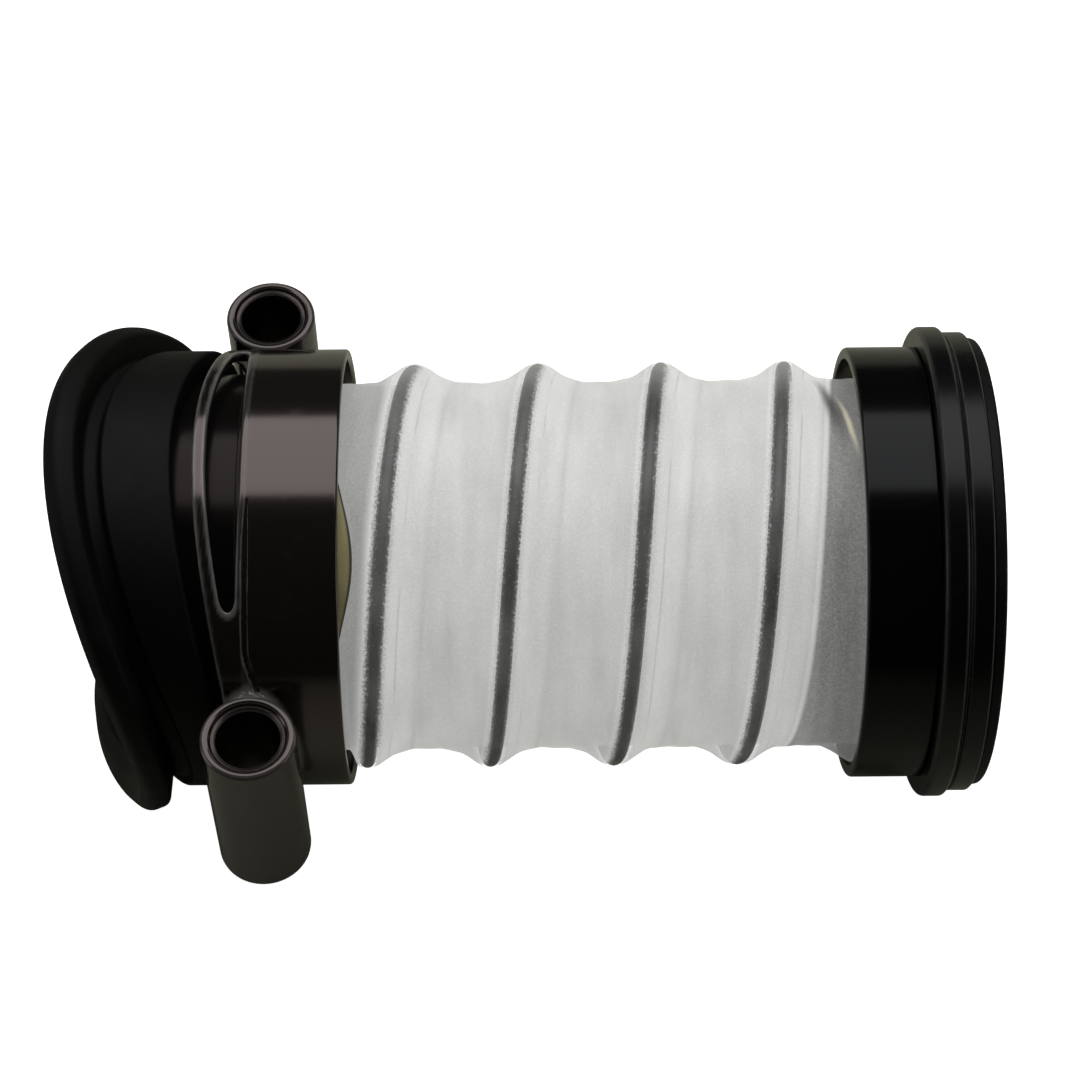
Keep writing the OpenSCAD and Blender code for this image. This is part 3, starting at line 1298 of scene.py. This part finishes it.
@dataclass
class Hose:
    """Two plies of film with a wire winding left-handed between them, in three stretches."""

    finishes: Finishes
    valley_r: float = 39.8
    crest_r: float = 44.0
    lining_r: float = 39.5
    pitch: float = WIRE_PITCH
    mark_x: float = 56.6
    mark_angle: float = 38.0
    wire_r: float = 1.6
    wire_tip_r: float = 1e-3
    wire_sides: int = 16
    wire_steps: int = 96
    spread: float = 5.2
    lean_x: float = 1.9
    bend_start: float = 50.5
    first_bend: float = 72.0
    second_bend: float = 119.2
    bend_end: float = 140.7
    collapse: float = 30.0

    def turns(self, x: Array, a: Array) -> Array:
        """Turns of the wire from a point: (x - mark - lean) / pitch + (a - mark angle) / 360 degrees."""
        return (x - self.mark_x - self.lean(a)) / self.pitch + (np.degrees(a) - self.mark_angle) / 360.0

    def lean(self, a: Array) -> Array:
        """How far the turns lean towards the outlet low on the near side: half x (1 - cos(a - 56))."""
        return self.lean_x / 2 * (1.0 - np.cos(a - np.radians(56.0)))

    def rise(self, x: Array, a: Array) -> Array:
        """Share of the full corrugation: it fades out at the gasket and inside the cuff."""
        return ease(x - np.maximum(gasket_edge(a), 41.6), 0.2, 2.4) * (1.0 - ease(x, 151.4, 153.8))

    def radius(self, x: Array, a: Array) -> Array:
        """Radius of the outer ply: valley + rise x (height x exp(-(s / spread)^2) + sag), s from the wire.

        The sag is a small ripple between the turns: 0.16 sin(7a + 0.31x) sin(0.83x + 3a).

        Args:
            x: Positions along the hose.
            a: Angles round it.

        Returns:
            Radii.
        """
        t = self.turns(x, a)
        s = (t - np.round(t)) * self.pitch
        height = self.crest_r - self.valley_r
        sag = 0.16 * np.sin(a * 7 + x * 0.31) * np.sin(x * 0.83 + a * 3)
        crest = height * np.exp(-((s / self.spread) ** 2)) + sag * ease(np.abs(s), 3, 7)
        return self.valley_r + self.rise(x, a) * crest

    def ply(self, zone: Zone) -> Surface:
        """Outer ply of a stretch, as one sheet on a grid of x and angle.

        Normals come from the slopes of the radius: (-dr/dx, radial, -dr/da / r) in the frame of
        the hose's axis, its radius and its round direction. The sheet has no thickness.

        Args:
            zone: Stretch to cover.

        Returns:
            The sheet, with turns from the wire and millimetres round as its UVs.
        """
        columns = int(round((zone.end - zone.start) / 0.5)) + 1
        x = np.linspace(zone.start, zone.end, columns)[None, :]
        a = np.linspace(0, 2 * np.pi, 240, endpoint=False)[:, None]
        r = self.radius(x, a)
        h = 1e-3
        rx = (self.radius(x + h, a) - self.radius(x - h, a)) / (2 * h)
        ra = (self.radius(x, a + h) - self.radius(x, a - h)) / (2 * h)
        c, s = np.cos(a), np.sin(a)
        full_x = np.broadcast_to(x, r.shape)
        points = np.stack([full_x, r * c, r * s], axis=-1).reshape(-1, 3)
        normals = np.stack([-rx, c + s * ra / r, s - c * ra / r], axis=-1).reshape(-1, 3)
        faces = quads(len(a), columns, True, False)
        rows, cols = faces // columns, faces % columns
        angle = np.where((rows == 0) & (rows.max(axis=1, keepdims=True) == len(a) - 1), len(a), rows)
        angle = angle * (2 * np.pi / len(a))
        uv = np.stack([self.turns(x[0][cols], angle), angle * self.valley_r], axis=-1)
        return Surface(points, faces, normals, uv)

    def lining(self, zone: Zone) -> Surface:
        """Inner ply of a stretch: a smooth tube, as one sheet without thickness.

        Args:
            zone: Stretch to line.

        Returns:
            The sheet with its normals.
        """
        x = np.linspace(zone.start, zone.end, 24)[None, :]
        a = np.linspace(0, 2 * np.pi, 160, endpoint=False)[:, None]
        c, s = np.cos(a) + 0 * x, np.sin(a) + 0 * x
        r = self.lining_r + 0 * c
        points = np.stack([x + 0 * c, r * c, r * s], axis=-1).reshape(-1, 3)
        normals = np.stack([0 * c, c, s], axis=-1).reshape(-1, 3)
        return Surface(points, quads(160, 24, True, False), normals)

    def wire_angle(self, x: float) -> float:
        """Angle at which the wire passes x, found by stepping to the lean's own value.

        Args:
            x: Position along the hose.

        Returns:
            The angle in radians, falling as x grows.
        """
        a = 0.0
        for _ in range(40):
            a = np.radians(self.mark_angle) - 2 * np.pi * (x - self.mark_x - self.lean(a)) / self.pitch
        return float(a)

    def wire(self, zone: Zone) -> Surface:
        """Wire of a stretch: a circle carried along the helix and drawn in to a tiny ring at its ends.

        The helix stands under the crest at x = mark x + lean - pitch (a - mark angle) / 360. The
        circle lies in the plane of the radius and of the helix's own cross direction. The ring at
        each end, a thousandth of a millimetre in radius, is left open.

        Args:
            zone: Stretch to wind.

        Returns:
            The wire's surface with its normals.
        """
        ends = [self.wire_angle(v) for v in (zone.wire_start, zone.wire_end)]
        count = int(round(abs(ends[1] - ends[0]) / (2 * np.pi) * self.wire_steps))
        a = np.linspace(*ends, count)
        x = self.mark_x + self.lean(a) - self.pitch * (a - np.radians(self.mark_angle)) / (2 * np.pi)
        r = self.valley_r + self.rise(x, a) * (self.crest_r - self.valley_r) - 0.2 - self.wire_r
        radial = np.stack([0 * x, np.cos(a), np.sin(a)], axis=-1)
        path = np.stack([x, r * np.cos(a), r * np.sin(a)], axis=-1)
        tangent = unit(np.gradient(path, axis=0))
        cross = np.cross(tangent, radial)
        turn = np.linspace(0, 2 * np.pi, self.wire_sides, endpoint=False)
        out = radial[:, None] * np.cos(turn)[None, :, None] + cross[:, None] * np.sin(turn)[None, :, None]
        line = path[:, None]
        rings = line + self.wire_r * out
        caps = [line[i] + self.wire_tip_r * out[i] for i in (0, -1)]
        points = np.concatenate([caps[0][None], rings, caps[1][None]])
        normals = np.concatenate([out[:1], out, out[-1:]])
        faces = quads(count + 2, self.wire_sides, False, True)
        return Surface(points.reshape(-1, 3), faces, normals.reshape(-1, 3))

    def build(self) -> None:
        """Builds the plies and the wire of each stretch; the middle stretch rides on the first half of the
        hose and the end stretches are baked in place.
        """
        zones = (
            Zone("inlet", 34.1, self.first_bend, 43.6, self.first_bend),
            Zone("middle", self.first_bend, self.second_bend, self.first_bend, self.second_bend),
            Zone("outlet", self.second_bend, 160.7, self.second_bend, 151.9),
        )
        f = self.finishes
        for zone in zones:
            name = zone.name
            ply, lining, wire = self.ply(zone), self.lining(zone), self.wire(zone)
            made = (
                Piece(ply.to_object(f"outer_ply_{name}"), f.film, Slot.FILM, (f"film_{name}",)),
                Piece(lining.to_object(f"inner_ply_{name}"), f.lining, Slot.FILM),
                Piece(wire.to_object(f"coated_wire_{name}"), f.wire, Slot.WIRE, (f"wire_{name}",)),
            )
            for piece in made:
                if name == "inlet":
                    piece.bending(Body.INLET, Body.FIRST_HALF, self.bend_start, self.first_bend)
                elif name == "outlet":
                    piece.bending(Body.SECOND_HALF, Body.OUTLET, self.second_bend, self.bend_end)
                else:
                    piece.riding(Body.FIRST_HALF)
                    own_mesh(piece.thing)


# ---------------------------------------------------------------- outlet


@dataclass
class Outlet:
    """Cuff and spigot, with the flange, lock ring and seal that swivel on them."""

    finishes: Finishes
    cuff_x: float = 149.7
    cuff_r: float = 46.7
    spigot_r: float = 39.3
    bore_r: float = 36.5
    spigot_x: float = 140.7
    flange_x: float = 164.7
    flange_r: float = 51.0
    lock_x: float = 170.6
    seal_x: float = 175.1
    end_x: float = 177.7
    journal_r: float = 41.0
    cuff_bore_r: float = 44.2
    seat_r: float = 43.6
    groove_r: float = 39.6

    def cuff(self) -> None:
        """Turned cuff with rounded rims."""
        web = self.flange_x - 2.4
        outline = [
            (self.cuff_x, self.cuff_bore_r, 0.3), (self.cuff_x, self.cuff_r, 0.8),
            (self.flange_x - 0.3, self.cuff_r, 0.3), (self.flange_x - 0.3, self.seat_r, 0.1),
            (web, self.seat_r, 0.1), (web, self.cuff_bore_r, 0.1),
        ]
        thing = turned(outline).to_object("cuff_shell")
        Piece(thing, self.finishes.cuff, Slot.CUFF, ("cuff",)).riding(Body.OUTLET)

    def spigot(self) -> None:
        """Turned spigot with the journal, O-ring groove and snap-ring groove."""
        j, f, g, low = self.journal_r, self.flange_x, self.lock_x + 0.2, self.groove_r
        web_r = self.seat_r - 0.1
        outline = [
            (self.spigot_x, self.bore_r, 0.6), (self.spigot_x, self.spigot_r, 0.9),
            (f - 2.4, self.spigot_r, 0.3), (f - 2.4, web_r, 0.1), (f - 0.3, web_r, 0.1), (f - 0.3, j, 0.2),
            (f + 2.4, j, 0.15), (f + 2.4, low, 0.15), (f + 4.4, low, 0.15), (f + 4.4, j, 0.15),
            (g, j, 0.15), (g, low, 0.1), (g + 1.2, low, 0.1), (g + 1.2, j, 0.15), (g + 2.6, j, 0.5),
            (g + 2.6, self.bore_r, 0.5),
        ]
        thing = turned(outline).to_object("outlet_spigot_shell")
        Piece(thing, self.finishes.cuff, Slot.CUFF, ("outlet_spigot",)).riding(Body.OUTLET)

    def swivel(self) -> None:
        """Turned flange, lock ring and face seal."""
        f, lock, r, seal_x, end = self.flange_x, self.lock_x, self.flange_r, self.seal_x, self.end_x
        bore, seat = self.journal_r + 0.4, self.cuff_bore_r
        flange = [
            (f, bore, 0.3), (f, r, 1.3), (f + 4.8, r, 0.9), (lock - 0.4, r - 1.2, 0.5),
            (lock, r - 1.5, 0.2), (lock, seat, 0.2), (f + 4.9, seat, 0.2), (f + 4.9, bore, 0.2),
        ]
        ring = [
            (lock, seat, 0.2), (lock, r - 1.2, 0.55), (seal_x, r - 1.2, 0.55), (seal_x, seat, 0.2),
        ]
        seal = [
            (seal_x, 38.5, 0.2), (seal_x, 48.8, 0.5), (end, 48.3, 0.9), (end, 45.0, 0.5),
            (end - 1, 44.0, 0.3), (end - 1, 38.5, 0.3),
        ]
        rows = (
            (flange, "swivel_flange_turned", self.finishes.flange, Slot.FLANGE, "swivel_flange"),
            (ring, "lock_ring_turned", self.finishes.flange, Slot.FLANGE, "lock_ring"),
            (seal, "face_seal_soft", self.finishes.seal, Slot.SEAL, "face_seal"),
        )
        for outline, name, material, slot, node in rows:
            thing = turned(outline).to_object(name)
            Piece(thing, material, slot, (node,)).riding(Body.SWIVEL)

    def gasket(self) -> None:
        """Gasket that packs the hose end inside the cuff."""
        start, end = self.cuff_x + 4.6, self.cuff_x + 7.6
        outline = [
            (start, GASKET_BORE_R, 0.4), (start, GASKET_R, 0.7),
            (end, GASKET_R, 0.7), (end, GASKET_BORE_R, 0.4),
        ]
        thing = turned(outline).to_object("outlet_gasket_soft")
        Piece(thing, self.finishes.gasket, Slot.GASKET, ("outlet_gasket",)).riding(Body.OUTLET)

    def build(self) -> None:
        """Builds every piece of the outlet."""
        self.cuff()
        self.spigot()
        self.swivel()
        self.gasket()


@dataclass
class Hardware:
    """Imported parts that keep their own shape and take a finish."""

    finishes: Finishes

    def build(self) -> None:
        """Gives each carried-over part its material."""
        f = self.finishes
        chosen = {
            "boot_stiffener": f.pipe, "ring_o_ring": f.ring_rubber, "swivel_o_ring": f.ring_rubber,
            "ring_washer": f.washer, "swivel_washer": f.washer, "ring_snap_ring": f.spring,
            "swivel_snap_ring": f.spring, "inlet_clamp": f.clamp, "inlet_clamp_screw": f.clamp,
            "outlet_clamp": f.clamp, "outlet_clamp_screw": f.clamp,
        }
        for name, material in chosen.items():
            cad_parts[name].material_slots[0].material = material
            log.info("%s: %s", name, material.name)


# ---------------------------------------------------------------- studio


@dataclass
class Studio:
    """Camera, pale floor and soft light."""

    target: tuple[float, float, float] = (83.54, 6.53, 0.0)
    distance: float = 633.6
    elevation: float = 55.9
    azimuth: float = -0.17
    roll: float = -0.40
    lens: float = 96.33
    floor_z: float = -52.7
    floor_r: float = 4000.0
    floor_flat_r: float = 1500.0
    floor_rise: float = 3000.0
    floor_grid: tuple[int, int] = (80, 96)
    seen: Colour = (0.84, 0.84, 0.84)
    bounce: Colour = (0.45, 0.445, 0.35)
    softbox_rise: float = 63.5
    softbox_away: float = 1.25
    softbox_size: tuple[float, float] = (2.2, 1.08)
    softbox_radiance: float = 1.9
    card_size: tuple[float, float] = (0.7, 0.5)
    card_radiance: float = 1.1
    card_x: float = 1.1
    world_strength: float = 0.015

    def camera(self) -> None:
        """Camera that looks down on the hose from its near side."""
        az, el, ro = (np.radians(v) for v in (self.azimuth, self.elevation, self.roll))
        back = np.array([np.sin(az) * np.cos(el), -np.cos(az) * np.cos(el), np.sin(el)])
        right = np.array([np.cos(az), np.sin(az), 0.0])
        up = np.cross(back, right)
        across = right * np.cos(ro) + up * np.sin(ro)
        upward = -right * np.sin(ro) + up * np.cos(ro)
        place = (np.array(self.target) + back * self.distance) * MM
        data = bpy.data.cameras.new("camera")
        data.lens, data.sensor_width = self.lens, 36.0
        data.clip_start, data.clip_end = 0.01, 50.0
        thing = bpy.data.objects.new("camera", data)
        rows = np.column_stack([across, upward, back, place])
        thing.matrix_world = Matrix([*rows.tolist(), [0, 0, 0, 1]])
        bpy.context.scene.collection.objects.link(thing)
        bpy.context.scene.camera = thing

    def floor(self) -> None:
        """Pale floor as the camera sees it, and the floor below it that throws light back.

        The first gives off white light, takes no shadow and is seen by the camera alone. Each is a
        disc whose rim rises smoothly: z = floor + rise x ease(r, flat radius, radius).
        """
        rings, sides = self.floor_grid
        r = np.linspace(1.0, self.floor_r, rings)[:, None]
        t = np.linspace(0, 2 * np.pi, sides, endpoint=False)[None, :]
        kinds = (
            ("floor", self.floor_z, self.floor_rise, self.seen, 1.0),
            ("floor_bounce", self.floor_z - 1.0, 0.0, self.bounce, 0.0),
        )
        for name, z, height, colour, glow in kinds:
            rise = z + height * ease(r, self.floor_flat_r, self.floor_r) + 0 * t
            points = np.stack([r * np.cos(t), r * np.sin(t), rise], axis=-1).reshape(-1, 3)
            up = np.tile([0.0, 0.0, 1.0], (len(points), 1))
            thing = Surface(points, quads(rings, sides, False, True), up).to_object(name)
            s = Shader(f"{name}_pale")
            grain = s.noise(40.0, 2.0)
            worn = tuple(0.95 * c for c in colour)
            thing.data.materials.append(
                s.finish(
                    Base_Color=s.mix(grain, worn, colour),
                    Roughness=0.9,
                    Emission_Color=(1.0, 1.0, 1.0, 1.0),
                    Emission_Strength=glow,
                )
            )
            thing.visible_camera = glow > 0.0
            if glow > 0.0:
                thing.visible_diffuse = thing.visible_glossy = False
                thing.visible_transmission = thing.visible_shadow = False

    def light(self, name: str, place: Array, aim: Array, size: tuple[float, float], radiance: float) -> None:
        """Adds a soft rectangular light.

        Args:
            name: Name of the light.
            place: Its middle, in metres.
            aim: Point that it faces, in metres.
            size: Width along X and height, in metres.
            radiance: Brightness of its face.
        """
        data = bpy.data.lights.new(name, "AREA")
        data.shape, data.size, data.size_y = "RECTANGLE", *size
        data.energy = radiance * np.pi * size[0] * size[1]
        thing = bpy.data.objects.new(name, data)
        back = unit(place - aim)
        across = unit(np.cross(np.array([0.0, 1.0, 0.0]), back))
        rows = np.column_stack([across, np.cross(back, across), back, place])
        thing.matrix_world = Matrix([*rows.tolist(), [0, 0, 0, 1]])
        bpy.context.scene.collection.objects.link(thing)

    def build(self) -> None:
        """Sets up the camera, floor, lights and world."""
        self.camera()
        self.floor()
        middle = np.array([0.085, 0.0, 0.0])
        rise = np.radians(self.softbox_rise)
        high = middle + self.softbox_away * np.array([0.0, np.cos(rise), np.sin(rise)])
        self.light("softbox", high, middle, self.softbox_size, self.softbox_radiance)
        for side, name in ((-1.0, "side_card_left"), (1.0, "side_card_right")):
            place = middle + np.array([side * self.card_x, -0.12, 0.06])
            self.light(name, place, middle, self.card_size, self.card_radiance)
        world = bpy.data.worlds.new("studio")
        world.use_nodes = True
        world.node_tree.nodes["Background"].inputs[0].default_value = (0.9, 0.95, 1.0, 1.0)
        world.node_tree.nodes["Background"].inputs[1].default_value = self.world_strength
        bpy.context.scene.world = world
        bpy.context.scene.view_settings.view_transform = "Standard"


def main() -> None:
    """Builds the studio and every piece."""
    logging.basicConfig(level=logging.INFO, format="%(name)s %(message)s")
    Studio().build()
    finishes = Finishes(WIRE_PITCH)
    for part in (BayonetCoupling(finishes), Hose(finishes), Outlet(finishes), Hardware(finishes)):
        part.build()


if __name__ == "__main__":
    main()
